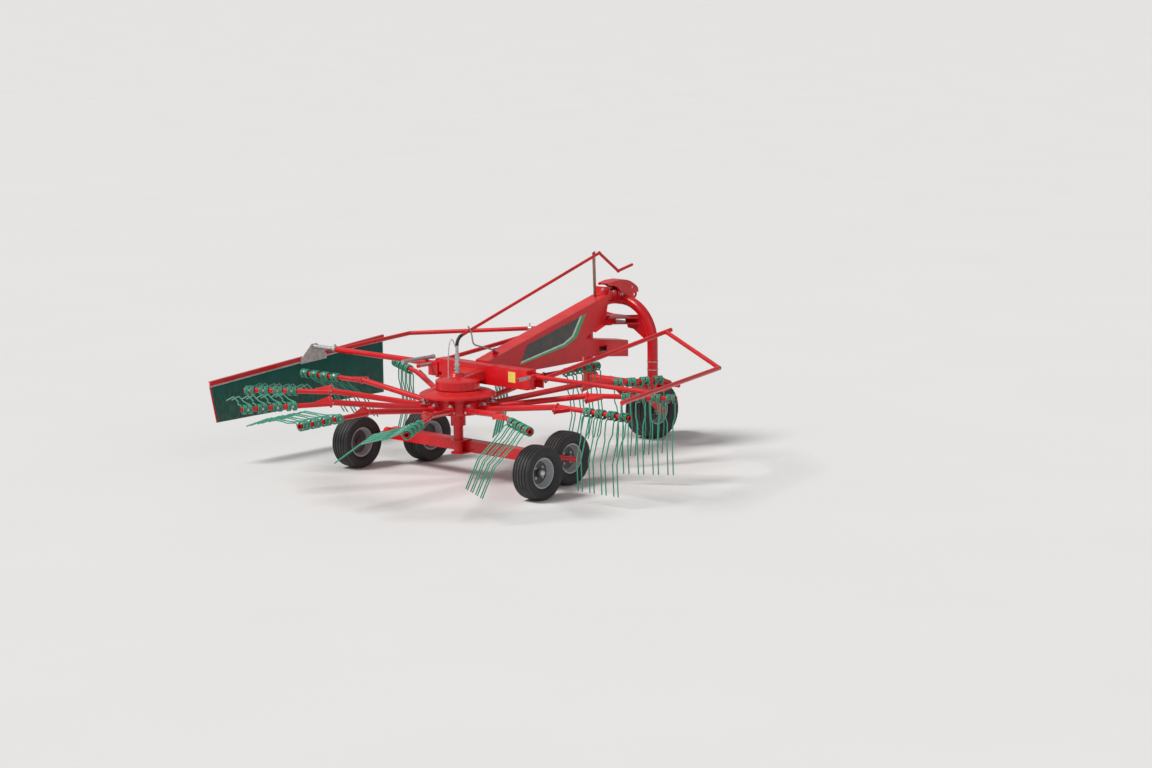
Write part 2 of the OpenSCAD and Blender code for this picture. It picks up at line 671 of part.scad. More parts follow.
// Lever lying along the machine on the curtain arm, with a ball at its front end
module fold_lever() color(ZINC) machine() {
  y = hinge_left + 96;
  z = curtain_arm_z + curtain_arm_d / 2 + seat + 16;
  bar([-50, y, z], [guard_x + 50, y, z], 16);
  translate([guard_x + 60, y, z]) ball(20);
}
module curtain_tube() color(ZINC) machine() {
  face = curtain_y - rail_t / 2 - seat;
  arm_bar(curtain_y - 600, face - 4, curtain_arm_d / 2 - 5 - running);
  side_plate([
    [guard_x - bracket_rear, 690], [guard_x + bracket_front, 705], [guard_x + bracket_front, 745],
    [guard_x + 30, hinge_z + 14], [guard_x - 30, hinge_z + 14], [guard_x - bracket_rear, 725]
  ], face - 4, 8);
}
module curtain_rail() color(RED) machine() {
  for (leg = [[0, rail_h, rail_t / 2], [rail_h - rail_flange, rail_h, rail_t]]) side_plate([
    [curtain_rear, curtain_top_rear + leg[0]], [curtain_front, curtain_top_front + leg[0]],
    [curtain_front, curtain_top_front + leg[1]], [curtain_rear, curtain_top_rear + leg[1]]
  ], curtain_y - (rail_t - leg[2]) / 2, leg[2]);
}
module curtain_sheet() color(DARK_GREEN) machine() {
  side_plate([
    [curtain_rear + 60, curtain_low], [curtain_front - 5, curtain_low], [curtain_front - 5, curtain_top_front - 1],
    [curtain_rear, curtain_top_rear - 1]
  ], curtain_y, 8);
}

column();
chassis_beam();
bogie_left();
bogie_right();
gear_cap();
cross_box();
main_beam();
swivel_box();
input_shaft();
height_spindle();
crank_coupling();
crank_rod();
crank_strut();
hinge_pins();
rotor_drum();
inner_arms();
tine_arm_01();
tine_arm_02();
tine_arm_03();
tine_arm_04();
tine_arm_05();
tine_arm_06();
tine_arm_07();
tine_arm_08();
tine_arm_09();
tine_arm_10();
tine_arm_11();
tine_arm_12();
tyre_rear_left();
rim_rear_left();
tyre_front_left();
rim_front_left();
tyre_rear_right();
rim_rear_right();
tyre_front_right();
rim_front_right();
tyre_jockey();
rim_jockey();
headstock_arch();
headstock_bridge();
headstock_tower();
hitch_brackets();
jockey_arm();
guard_right();
guard_left();
curtain_arm();
fold_lever();
curtain_tube();
curtain_rail();
curtain_sheet();
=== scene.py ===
"""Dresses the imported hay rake: paint, sprung tines, tyres, fasteners, curtain, light and camera."""

import json
import math

import bmesh
import bpy
from mathutils import Matrix, Vector, noise


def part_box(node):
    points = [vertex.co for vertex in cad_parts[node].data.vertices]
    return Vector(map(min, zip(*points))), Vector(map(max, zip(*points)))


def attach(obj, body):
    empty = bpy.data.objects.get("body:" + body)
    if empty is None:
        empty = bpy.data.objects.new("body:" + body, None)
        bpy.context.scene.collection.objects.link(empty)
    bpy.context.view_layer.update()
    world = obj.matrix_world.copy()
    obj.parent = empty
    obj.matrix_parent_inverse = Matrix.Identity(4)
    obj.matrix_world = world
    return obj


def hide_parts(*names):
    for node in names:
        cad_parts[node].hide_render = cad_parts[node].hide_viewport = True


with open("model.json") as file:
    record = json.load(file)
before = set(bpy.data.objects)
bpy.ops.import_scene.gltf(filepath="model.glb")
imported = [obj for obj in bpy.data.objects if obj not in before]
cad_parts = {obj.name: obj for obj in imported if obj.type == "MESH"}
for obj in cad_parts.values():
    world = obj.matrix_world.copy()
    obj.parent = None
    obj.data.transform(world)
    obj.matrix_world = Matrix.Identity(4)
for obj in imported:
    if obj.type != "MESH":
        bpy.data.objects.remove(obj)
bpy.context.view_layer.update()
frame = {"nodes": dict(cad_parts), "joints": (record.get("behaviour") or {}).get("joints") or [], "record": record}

bl_info = {
    "name": "Hay Rake Dressing",
    "version": (1, 0, 0),
    "blender": (4, 5, 0),
    "location": "3D View > Sidebar > Hay Rake",
    "description": "Paint, springs, tyres, fasteners and curtain for a single rotor hay rake",
    "category": "Object",
}

NODES = frame["nodes"]
ROTOR_X = next(joint["pos_m"][0] for joint in frame["joints"] if joint["name"] == "rotor_spin")
WHEELS = ("rear_left", "front_left", "rear_right", "front_right", "jockey")

# The ways that fasteners face: X is forward, Y is to the machine's left
REARWARD, RIGHT, LEFT, UP = (-1, 0, 0), (0, -1, 0), (0, 1, 0), (0, 0, 1)

# How far each arm has turned about its own axis, in degrees: arm 1 first
ARM_TWIST = (0, 0, 0, 50, 80, 88, 84, 68, 38, 11, 3, 3)
# The bolted joint of an arm is this far above the outer arm's axis, and its ears lean back by this
JOINT_LIFT = 0.010
EAR_LEAN = math.radians(-45)

# The finish for each material slot of the pack
FINISHES = {
    "red_paint": "Red paint",
    "tine_green": "Spring green",
    "tyre_rubber": "Tyre rubber",
    "rim_grey": "Rim paint",
    "zinc": "Zinc",
    "bare_steel": "Bare steel",
    "black_rubber": "Hose rubber",
    "curtain_green": "Curtain cloth",
}
RUBBED_PAINT = (0.33, 0.25, 0.22)
DULL_SPOTS = (0.30, 0.25, 0.20)
SOIL = (0.28, 0.22, 0.16)


def at_rotor(x, y, z):
    """A point that is given from the rotor's axis, in the frame of the whole machine."""
    return Vector((x + ROTOR_X, y, z))


def placed(point, angle, axis="X"):
    """The frame at a point, turned about one axis."""
    return Matrix.Translation(point) @ Matrix.Rotation(angle, 4, axis)


def with_settings(thing, **settings):
    """The thing itself, once it has its settings."""
    for key, value in settings.items():
        setattr(thing, key, value)
    return thing


# ---------------------------- sizes and colours


def number_property(name, description, default, **kind):
    """A number in the panel, whole if its default is."""
    whole = isinstance(default, int)
    make = bpy.props.IntProperty if whole else bpy.props.FloatProperty
    return make(name=name, description=description, default=default, **kind)


def length_property(name, description, default):
    """A length in the panel, in metres."""
    return number_property(name, description, default, unit="LENGTH")


def colour_property(name, description, default):
    """A colour in the panel, without alpha."""
    return bpy.props.FloatVectorProperty(
        name=name, description=description, default=default, subtype="COLOR", size=3, min=0, max=1
    )


class TineSizes(bpy.types.PropertyGroup):
    arm_phase: number_property(
        "First arm's angle", "From the direction of travel", math.radians(2.3), subtype="ANGLE"
    )
    axis_height: length_property("Axis height", "Height of the outer arm's axis", 0.656)
    joint_radius: length_property("Joint radius", "Where the outer arm is bolted on", 1.0)
    tip_radius: length_property("Tip radius", "Outer end of the arm tube", 1.671)
    tube: length_property("Arm tube", "Outer diameter", 0.038)
    wire: length_property("Wire", "Thickness of the tine wire", 0.0095)
    coil: length_property("Coil", "Outer diameter of a coil", 0.072)
    turns: number_property("Turns", "Turns in one coil", 2.75)
    springs: number_property("Springs", "Double springs on each arm", 4)
    pitch: length_property("Pitch", "Distance between springs", 0.112)
    end_gap: length_property("End gap", "Last spring's middle to the arm's end", 0.046)

    def first_spring(self):
        """The innermost spring's middle, from the rotor's axis."""
        return self.tip_radius - self.end_gap - (self.springs - 1) * self.pitch

    def arms(self):
        """Each arm's number, the frame of its radius and that of its twisted tube, X outwards."""
        for i, twist in enumerate(ARM_TWIST):
            angle = self.arm_phase + i * math.tau / len(ARM_TWIST)
            radius = placed((ROTOR_X, 0, 0), angle, "Z")
            yield i + 1, radius, radius @ placed((0, 0, self.axis_height), math.radians(-twist))


class CurtainSizes(bpy.types.PropertyGroup):
    columns: number_property("Columns", "Squares along the curtain", 120)
    rows: number_property("Rows", "Squares down the curtain", 28)
    bolts: number_property("Bolts", "Along the clamping strip", 12)
    thickness: length_property("Thickness", "Of the cloth", 0.0025)
    wave: length_property("Wave", "Depth of the cloth's waves", 0.011)
    inset: length_property("Inset", "Left free below the cloth", 0.004)


class Finishes(bpy.types.PropertyGroup):
    red: colour_property("Red", "Frame, rotor and headstock", (0.68, 0.004, 0.010))
    green: colour_property("Spring green", "Coils and tines", (0.03, 0.32, 0.20))
    rubber: colour_property("Rubber", "Tyres", (0.022, 0.022, 0.024))
    # The rim's dark dish is painted shade; the rim's own grey is its edge colour
    rim: colour_property("Rim", "Dished middle of a wheel", (0.09, 0.09, 0.095))
    rim_edge: colour_property("Rim edge", "Outer ring of a wheel", (0.44, 0.45, 0.47))
    zinc: colour_property("Zinc", "Fasteners and spindle", (0.62, 0.61, 0.60))
    cloth: colour_property("Curtain", "Coated cloth", (0.004, 0.088, 0.070))
    dust: colour_property("Dust", "Field dust on faces that look up", (0.36, 0.29, 0.19))
    dust_amount: number_property("Dust amount", "0 is washed", 0.17, min=0, max=1)


class StageSettings(bpy.types.PropertyGroup):
    lens: number_property("Lens", "Focal length in millimetres", 89.92)
    key: number_property("Key light", "Strength of the soft main light", 2.8)
    fill: number_property("Fill light", "Strength of the side light", 0.4)
    world: number_property("Ambient", "Light from all round", 0.29)
    floor: colour_property("Floor", "Plain pale floor", (0.78, 0.77, 0.75))


# ---------------------------- node trees


class Nodes:
    """A node tree that nodes are added to."""

    def __init__(self, tree):
        self.tree = tree

    def fill(self, node, inputs):
        """Gives a node its inputs, which are values or other nodes' sockets."""
        for key, value in inputs.items():
            if isinstance(value, bpy.types.NodeSocket):
                self.tree.links.new(value, node.inputs[key])
            else:
                node.inputs[key].default_value = value

    def add(self, kind, inputs=None, **settings):
        """Adds a node with its settings and its inputs."""
        node = with_settings(self.tree.nodes.new(kind), **settings)
        self.fill(node, inputs or {})
        return node

    def calc(self, operation, a, b, clamp=False):
        settings = {"operation": operation, "use_clamp": clamp}
        return self.add("ShaderNodeMath", {0: a, 1: b}, **settings).outputs[0]

    def product(self, *factors):
        """All the factors multiplied."""
        result = factors[0]
        for factor in factors[1:]:
            result = self.calc("MULTIPLY", result, factor)
        return result

    def remap(self, value, low, high, to_low=0.0, to_high=1.0):
        """Value from low..high to to_low..to_high, held at the ends."""
        names = ("Value", "From Min", "From Max", "To Min", "To Max")
        inputs = dict(zip(names, (value, low, high, to_low, to_high)))
        return self.add("ShaderNodeMapRange", inputs).outputs["Result"]


class Look(Nodes):
    """A new material, with patterns in the object's own coordinates or its UV."""

    def __init__(self, name):
        material = bpy.data.materials.new(name)
        material.use_nodes = True
        super().__init__(material.node_tree)
        self.place = self.add("ShaderNodeTexCoord").outputs

    def shade(self, inputs):
        """Gives the shader its inputs."""
        self.fill(self.tree.nodes["Principled BSDF"], inputs)

    def speckle(self, scale, detail=3.0, roughness=0.5, stretch=None, place="Object"):
        """Noise from 0 to 1 over the surface; stretch has three scales, for a pattern that runs."""
        where = self.place[place]
        if stretch:
            mapping = {"Vector": where, "Scale": stretch}
            where = self.add("ShaderNodeMapping", mapping).outputs["Vector"]
        inputs = {"Vector": where, "Scale": scale, "Detail": detail, "Roughness": roughness}
        return self.add("ShaderNodeTexNoise", inputs).outputs["Fac"]

    def blend(self, factor, a, b):
        """Colour a where the factor is 0, b where it is 1."""
        a, b = (c if isinstance(c, bpy.types.NodeSocket) else (*c, 1.0) for c in (a, b))
        # A mix node has sockets for every type of data: these are for colours
        return self.add("ShaderNodeMix", {0: factor, 6: a, 7: b}, data_type="RGBA").outputs[2]

    def mesh_value(self, name):
        """The mesh's own attribute of that name."""
        return self.add("ShaderNodeAttribute", attribute_name=name).outputs["Fac"]

    def part(self, place, axis):
        return self.add("ShaderNodeSeparateXYZ", {0: self.place[place]}).outputs[axis]

    def worn_edge(self, radius):
        """1 along the outer edges, broken up as rubbed paint is."""
        soft = self.add("ShaderNodeBevel", {"Radius": radius}, samples=4).outputs[0]
        flat = self.add("ShaderNodeNewGeometry").outputs["True Normal"]
        turned = self.add("ShaderNodeVectorMath", {0: soft, 1: flat}, operation="DOT_PRODUCT")
        edge = self.remap(turned.outputs["Value"], 0.985, 0.86)
        return self.product(edge, self.remap(self.speckle(9.0, 5.0, 0.7), 0.52, 0.66))

    def bump(self, height, distance, strength):
        inputs = {"Height": height, "Distance": distance, "Strength": strength}
        return self.add("ShaderNodeBump", inputs).outputs["Normal"]


def tinted(colour, factor, lift=0.0):
    """A darker or lighter tone of a colour."""
    return tuple(min(1.0, channel * factor + lift) for channel in colour)


def painted(name, colour, finishes, roughness=0.3, coat=0.25, dust=1.0, edge_colour=None):
    """Gloss paint over steel: slow change of tone, fine peel, rubs, scratches, and dust on top.

    The edge colour goes where the mesh's attribute flange is 1; on a wheel the darker colour inside it is painted
    shade in the dish.
    """
    look = Look(name)
    slow = look.remap(look.speckle(2.2, 4.0), 0.3, 0.7)
    tone = look.blend(slow, tinted(colour, 0.72), tinted(colour, 1.08, 0.003))
    if edge_colour:
        tone = look.blend(look.mesh_value("flange"), tone, edge_colour)
    streaks = look.speckle(6.0, 6.0, 0.75, stretch=(3.0, 60.0, 60.0))
    scratch = look.remap(streaks, 0.70, 0.74, 0.0, 0.45)
    tone = look.blend(scratch, tone, tinted(colour, 0.6, 0.25))
    tone = look.blend(look.product(look.worn_edge(0.004), 0.75), tone, RUBBED_PAINT)
    upward = look.remap(look.part("Normal", "Z"), 0.25, 0.95)
    cloud = look.remap(look.speckle(5.0, 8.0, 0.65), 0.38, 0.72)
    fine = look.remap(look.speckle(140.0), 0.35, 0.65, 0.55, 1.0)
    lying = look.product(upward, cloud, fine, finishes.dust_amount * dust)
    gloss = look.remap(look.speckle(11.0, 5.0), 0.3, 0.7, roughness - 0.06, roughness + 0.1)
    peel = look.calc("ADD", look.speckle(260.0, 2.0), look.product(lying, 1.5))
    inputs = {
        "Base Color": look.blend(lying, tone, finishes.dust),
        "Roughness": look.calc("ADD", gloss, look.product(lying, 0.5), clamp=True),
        "Normal": look.bump(peel, 0.0003, 0.5),
        "Coat Weight": coat,
        "Coat Roughness": 0.12,
        "Specular IOR Level": 0.35,
    }
    look.shade(inputs)


def metal(name, colour, roughness, grain=(1.0, 1.0, 1.0)):
    """Plated or bare steel: mottled spangle, fine grain, dull spots."""
    look = Look(name)
    mottle = look.remap(look.speckle(30.0, 5.0, 0.6), 0.3, 0.7)
    tone = look.blend(mottle, tinted(colour, 0.7), tinted(colour, 1.15))
    spots = look.remap(look.speckle(9.0, 6.0, 0.7), 0.62, 0.75, 0.0, 0.5)
    streaks = look.speckle(90.0, 4.0, 0.6, stretch=grain)
    inputs = {
        "Base Color": look.blend(spots, tone, DULL_SPOTS),
        "Metallic": 0.85,
        "Roughness": look.remap(streaks, 0.3, 0.7, roughness - 0.08, roughness + 0.14),
        "Normal": look.bump(streaks, 0.0003, 0.6),
    }
    look.shade(inputs)


def rubber(name, colour, dust, dust_amount):
    """Rubber with dry field dust, most of it where the mesh's attribute tread is 1."""
    look = Look(name)
    cloud = look.remap(look.speckle(7.0, 8.0, 0.7), 0.35, 0.7)
    fine = look.remap(look.speckle(120.0, 5.0, 0.7), 0.35, 0.7, 0.45, 1.0)
    share = look.remap(look.mesh_value("tread"), 0.0, 1.0, 0.18, 0.62)
    lying = look.product(cloud, fine, share, dust_amount)
    inputs = {
        "Base Color": look.blend(lying, colour, dust),
        "Roughness": look.remap(lying, 0.0, 0.6, 0.55, 0.92),
        "Normal": look.bump(look.speckle(190.0, 6.0, 0.7), 0.0006, 0.7),
        "Specular IOR Level": 0.4,
    }
    look.shade(inputs)


def coated_cloth(name, colour, dust):
    """Coated curtain cloth: fine plain weave, painted shade and light of creases, dust along the lower edge."""
    look = Look(name)
    threads = {"Vector": look.place["UV"], "Scale": 240.0}
    warp, weft = (
        look.add("ShaderNodeTexWave", threads, bands_direction=way).outputs["Fac"] for way in "XY"
    )
    weave = look.calc("MAXIMUM", warp, weft)
    # Painted shade and light of creases: the cloth is darker and lighter in long vertical streaks
    crease_shade_and_light = look.remap(look.speckle(1.6, 6.0, 0.6, (5.0, 2.0, 1.0), "UV"), 0.3, 0.7)
    tone = look.blend(crease_shade_and_light, tinted(colour, 0.82), tinted(colour, 1.2, 0.001))
    low = look.remap(look.part("UV", "Y"), 0.32, 0.0)
    splashes = look.remap(look.speckle(3.0, 8.0, 0.75, (14.0, 5.0, 1.0), "UV"), 0.42, 0.72)
    inputs = {
        "Base Color": look.blend(look.product(low, splashes, 0.4), tone, dust),
        "Roughness": look.remap(weave, 0.0, 1.0, 0.42, 0.6),
        "Normal": look.bump(weave, 0.0004, 0.5),
        "Sheen Weight": 0.05,
        "Specular IOR Level": 0.2,
    }
    look.shade(inputs)


def plain_film(name, colour):
    """A blank sticker: satin film, slightly soiled."""
    look = Look(name)
    soil = look.remap(look.speckle(12.0, 6.0, 0.7), 0.45, 0.75, 0.0, 0.35)
    inputs = {
        "Base Color": look.blend(soil, colour, SOIL),
        "Roughness": look.remap(soil, 0.0, 0.35, 0.35, 0.6),
        "Normal": look.bump(look.speckle(60.0), 0.0003, 0.4),
    }
    look.shade(inputs)


class GeometryNodes(Nodes):
    """A new geometry tree, with inputs from rows of name, socket kind and default."""

    def __init__(self, name, sockets):
        super().__init__(bpy.data.node_groups.new(name, "GeometryNodeTree"))
        new_socket = self.tree.interface.new_socket
        new_socket("Geometry", in_out="INPUT", socket_type="NodeSocketGeometry")
        for label, kind, default in sockets:
            socket = new_socket(label, in_out="INPUT", socket_type=kind)
            if default is not None:
                socket.default_value = default
        new_socket("Geometry", in_out="OUTPUT", socket_type="NodeSocketGeometry")
        self.given = self.add("NodeGroupInput").outputs

    def out(self, name, inputs=None, **settings):
        """Adds a geometry node and returns its first output."""
        return self.add(f"GeometryNode{name}", inputs, **settings).outputs[0]

    def spread(self, copies):
        """Ends the tree with copies on points, made real and in the given finish."""
        real = self.out("RealizeInstances", {0: self.out("InstanceOnPoints", copies)})
        dressed = {"Geometry": real, "Material": self.given["Finish"]}
        self.fill(self.add("NodeGroupOutput"), {0: self.out("SetMaterial", dressed)})


def wire_tree():
    """Sweeps a round wire along an edge path and repeats it along X."""
    rows = (
        ("Wire radius", "NodeSocketFloat", 0.005),
        ("Count", "NodeSocketInt", 4),
        ("First", "NodeSocketFloat", 0.0),
        ("Pitch", "NodeSocketFloat", 0.1),
        ("Finish", "NodeSocketMaterial", None),
    )
    nodes = GeometryNodes("Sprung tines", rows)
    path = nodes.out("MeshToCurve", {"Mesh": nodes.given["Geometry"]})
    sizes = {"Resolution": 8, "Radius": nodes.given["Wire radius"]}
    profile = nodes.out("CurvePrimitiveCircle", sizes)
    sweep = {"Curve": path, "Profile Curve": profile, "Fill Caps": True}
    wire = nodes.out("CurveToMesh", sweep)
    first, step = (
        nodes.add("ShaderNodeCombineXYZ", {"X": nodes.given[name]}).outputs[0]
        for name in ("First", "Pitch")
    )
    line = {"Count": nodes.given["Count"], "Start Location": first, "Offset": step}
    nodes.spread({"Points": nodes.out("MeshLine", line), "Instance": wire})
    return nodes.tree


def bolt_tree():
    """Puts a washered hexagon bolt on each point, along the point's own direction and size."""
    nodes = GeometryNodes("Hexagon bolts", (("Finish", "NodeSocketMaterial", None),))
    joined = nodes.add("GeometryNodeJoinGeometry")
    # Washer, head and thread's end: sides, radius, height and middle above the seat, at size 1
    parts = ((20, 1.05, 0.16, 0.08), (6, 0.92, 0.62, 0.47), (12, 0.5, 0.25, 0.88))
    for sides, radius, height, middle in parts:
        drum = nodes.out("MeshCylinder", {"Vertices": sides, "Radius": radius, "Depth": height})
        lifted = nodes.out("Transform", {0: drum, "Translation": (0.0, 0.0, middle)})
        nodes.fill(joined, {0: lifted})
    direction, size = (
        nodes.out("InputNamedAttribute", {"Name": name}, data_type=kind)
        for name, kind in (("direction", "FLOAT_VECTOR"), ("size", "FLOAT"))
    )
    turn = nodes.add("FunctionNodeAlignRotationToVector", {"Vector": direction}, axis="Z")
    copies = {
        "Points": nodes.given["Geometry"],
        "Instance": joined.outputs[0],
        "Rotation": turn.outputs[0],
        "Scale": size,
    }
    nodes.spread(copies)
    return nodes.tree


# ---------------------------- shapes


def circle(steps):
    """Points round a circle of radius 1, in pairs."""
    return [(math.cos(math.tau * k / steps), math.sin(math.tau * k / steps)) for k in range(steps)]


class Shape:
    """A mesh that parts are added to, each with the number of its material."""

    def __init__(self):
        self.mesh = bmesh.new()

    def face(self, corners, material=0):
        self.mesh.faces.new(corners).material_index = material

    def rings(self, rings, material=0, closed=False, caps=(True, True)):
        """Skin over rings of points that have the same count, closed or with caps on its ends."""
        made = [[self.mesh.verts.new(p) for p in ring] for ring in rings]
        pairs = list(zip(made, made[1:]))
        if closed:
            pairs.append((made[-1], made[0]))
            caps = (False, False)
        for low, high in pairs:
            for i in range(len(low)):
                j = (i + 1) % len(low)
                self.face((low[i], low[j], high[j], high[i]), material)
        if caps[0]:
            self.face(made[0][::-1], material)
        if caps[1]:
            self.face(made[-1], material)
        return self

    def tube(self, path, radius, sides, caps=(True, True)):
        """Round tube along a path, its rings kept from twisting; the last one is kept as end."""
        path = [Vector(p) for p in path]
        upright = abs((path[1] - path[0]).normalized().z) >= 0.9
        up = Vector((1, 0, 0) if upright else (0, 0, 1))
        rings = []
        for i, point in enumerate(path):
            before = (point - path[i - 1] if i else path[1] - point).normalized()
            after = (path[i + 1] - point).normalized() if i < len(path) - 1 else before
            along = (before + after).normalized()
            side = along.cross(up).normalized()
            up = side.cross(along).normalized()
            # At a bend a ring is wider across, to twice at most, which keeps the tube's thickness
            wide = side / max(0.5, along.dot(before))
            rings.append([point + radius * (x * wide + y * up) for x, y in circle(sides)])
        self.end = rings[-1]
        return self.rings(rings, caps=caps)

    def lathe(self, profile, place, steps):
        """Turns a closed profile of (radius, along) about the Z axis of place."""
        turned = [[place @ Vector((r * x, r * y, h)) for r, h in profile] for x, y in circle(steps)]
        return self.rings(turned, closed=True)

    def plate(self, outline, thickness, place):
        """Flat plate from an outline in the X-Y plane of place, thick along its Z on both sides."""
        sides = (-thickness / 2, thickness / 2)
        return self.rings([[place @ Vector((x, y, z)) for x, y in outline] for z in sides])

    def plain(self, name, finishes):
        """Makes the object as it is, with the named finishes."""
        data = bpy.data.meshes.new(name)
        self.mesh.to_mesh(data)
        self.mesh.free()
        for finish in finishes:
            data.materials.append(bpy.data.materials[finish])
        return linked(name, data)

    def finish(self, name, finishes, smooth=40, bevel=0.0):
        """Makes the object, with faces outwards and smooth up to the given angle."""
        bmesh.ops.remove_doubles(self.mesh, verts=self.mesh.verts, dist=1e-6)
        bmesh.ops.recalc_face_normals(self.mesh, faces=self.mesh.faces)
        obj = self.plain(name, finishes)
        if bevel:
            edges = obj.modifiers.new("Rounded edges", "BEVEL")
            with_settings(edges, width=bevel, segments=2, limit_method="ANGLE")
        smooth_up_to(obj, smooth)
        return obj

    def piece(self, name, body, slot, replaces=(), finishes=(), **edges):
        """Makes the object as a piece of a body, in its slot's finish or in the named ones."""
        obj = self.finish(name, finishes or [FINISHES[slot]], **edges)
        keep(obj, body, replaces)
        return obj


def linked(name, data):
    obj = bpy.data.objects.new(name, data)
    bpy.context.scene.collection.objects.link(obj)
    return obj


def smooth_up_to(obj, degrees):
    obj.data.shade_smooth()
    obj.data.set_sharp_from_angle(angle=math.radians(degrees))


def keep(obj, body, replaces=()):
    """Puts a finished piece on its body and hides the nodes that it stands for."""
    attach(obj, body)
    if replaces:
        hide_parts(*replaces)


def grown(obj, tree, values):
    """Runs a geometry tree on an object and keeps the result as the object's plain mesh."""
    modifier = obj.modifiers.new(tree.name, "NODES")
    modifier.node_group = tree
    for item in tree.interface.items_tree:
        if item.in_out == "INPUT" and item.name in values:
            modifier[item.identifier] = values[item.name]
    graph = bpy.context.evaluated_depsgraph_get()
    mesh = bpy.data.meshes.new_from_object(obj.evaluated_get(graph), depsgraph=graph)
    obj.modifiers.remove(modifier)
    obj.data = mesh


def rounded(points, radius, steps=6):
    """The path through the points, each corner drawn as a bend."""
    points = [Vector(p) for p in points]
    path = [points[0]]
    for before, corner, after in zip(points, points[1:], points[2:]):
        cut = min(radius, 0.45 * (corner - before).length, 0.45 * (after - corner).length)
        start = corner + (before - corner).normalized() * cut
        end = corner + (after - corner).normalized() * cut
        for k in range(steps + 1):
            t = k / steps
            path.append(start * (1 - t) ** 2 + corner * 2 * t * (1 - t) + end * t * t)
    return path + [points[-1]]


def bolts(name, body, rows):
    """One piece of bolts on a body, from rows of point, direction and size."""
    data = bpy.data.meshes.new(name)
    data.from_pydata([tuple(point) for point, _, _ in rows], [], [])
    data.attributes.new("direction", "FLOAT_VECTOR", "POINT")
    data.attributes.new("size", "FLOAT", "POINT")
    toward = [c for _, direction, _ in rows for c in Vector(direction).normalized()]
    data.attributes["direction"].data.foreach_set("vector", toward)
    data.attributes["size"].data.foreach_set("value", [size for _, _, size in rows])
    obj = linked(name, data)
    tree = bpy.data.node_groups.get("Hexagon bolts") or bolt_tree()
    grown(obj, tree, {"Finish": bpy.data.materials["Zinc"]})
    smooth_up_to(obj, 30)
    keep(obj, body)


def node_box(node):
    """Lowest corner, highest corner and middle of a node."""
    low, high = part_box(node)
    return low, high, (low + high) / 2


def mark_outside(data, name, middle, radius):
    """Gives a wheel's mesh an attribute: 1 farther than radius from the axle, 0 nearer to it."""
    away = [math.hypot(v.co.x - middle.x, v.co.z - middle.z) for v in data.vertices]
    marks = data.attributes.new(name, "FLOAT", "POINT")
    marks.data.foreach_set("value", [float(distance > radius) for distance in away])


def wheel_body(wheel):
    return "jockey_wheel" if wheel == "jockey" else f"wheel_{wheel}"


# ---------------------------- pieces


class HAYRAKE_OT_paint(bpy.types.Operator):
    """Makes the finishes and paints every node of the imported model"""

    bl_idname = "hayrake.paint"
    bl_label = "Paint the frame"

    def execute(self, context):
        looks = context.scene.hayrake_finishes
        painted("Red paint", looks.red, looks)
        painted("Spring green", looks.green, looks, roughness=0.34, coat=0.15, dust=0.6)
        # Rim: painted shade in the dish, the rim's own grey on its outer ring
        painted("Rim paint", looks.rim, looks, 0.38, 0.1, 1.6, looks.rim_edge)
        metal("Zinc", looks.zinc, 0.36)
        metal("Bare steel", (0.42, 0.42, 0.43), 0.3, (1.0, 12.0, 12.0))
        metal("Weathered steel", (0.42, 0.25, 0.18), 0.5)
        rubber("Tyre rubber", looks.rubber, (0.19, 0.175, 0.155), 0.6)
        rubber("Hose rubber", (0.02, 0.02, 0.022), looks.dust, 0.25)
        coated_cloth("Curtain cloth", looks.cloth, looks.dust)
        plain_film("Panel grey", (0.055, 0.058, 0.062))
        plain_film("Stripe pale", (0.62, 0.80, 0.66))
        plain_film("Stripe green", (0.04, 0.38, 0.16))
        plain_film("Label yellow", (0.85, 0.70, 0.13))
        for part in frame["record"]["subparts"]:
            node, finish = part["node"], FINISHES[part["material_slot"]]
            if node == "crank_strut":
                finish = "Weathered steel"
            materials = NODES[node].data.materials
            materials.clear()
            materials.append(bpy.data.materials[finish])
        # Inside its flange a rim takes the dark colour: painted shade in the dish
        flange = 0.024
        for wheel in WHEELS:
            low, high, middle = node_box(f"rim_{wheel}")
            inside = (high.z - low.z) / 2 - flange
            mark_outside(NODES[f"rim_{wheel}"].data, "flange", middle, inside)
        return {"FINISHED"}


def spring_path(sizes):
    """Wire of one double spring about the X axis: leg, coil, bridge, coil, leg."""
    ring = (sizes.coil - sizes.wire) / 2
    lead = sizes.wire * 1.06
    outer = 0.036
    # Leg from its tip to the coil: place along the arm, across it, and height
    leg = [
        (0.020, 0.003, -0.575),
        (0.020, -0.0525, -0.351),
        (0.020, -0.0540, -0.344),
        (0.020, -0.0525, -0.336),
        (0.0205, -0.033, -0.190),
        (0.022, -0.031, -0.180),
        (0.034, -0.025, -0.143),
        (0.036, -0.0240, -0.132),
        (outer, -0.0262, -0.055),
        (outer, -0.0255, -0.046),
        (outer, -0.0215, -0.038),
        (outer, -0.0140, -ring - 0.0015),
    ]
    steps_in_turn = 14
    steps = round(sizes.turns * steps_in_turn)
    coil = []
    for i in range(steps + 1):
        turned = sizes.turns * i / steps
        a = math.tau * turned
        coil.append((outer - lead * turned, ring * math.sin(a), -ring * math.cos(a)))
    half = leg + coil
    return half + [(-x, y, z) for x, y, z in reversed(half)]


def joint_turn():
    """From the arm's frame to the frame of its bolted ears, which point between down and back."""
    return placed((0, 0, JOINT_LIFT), EAR_LEAN)


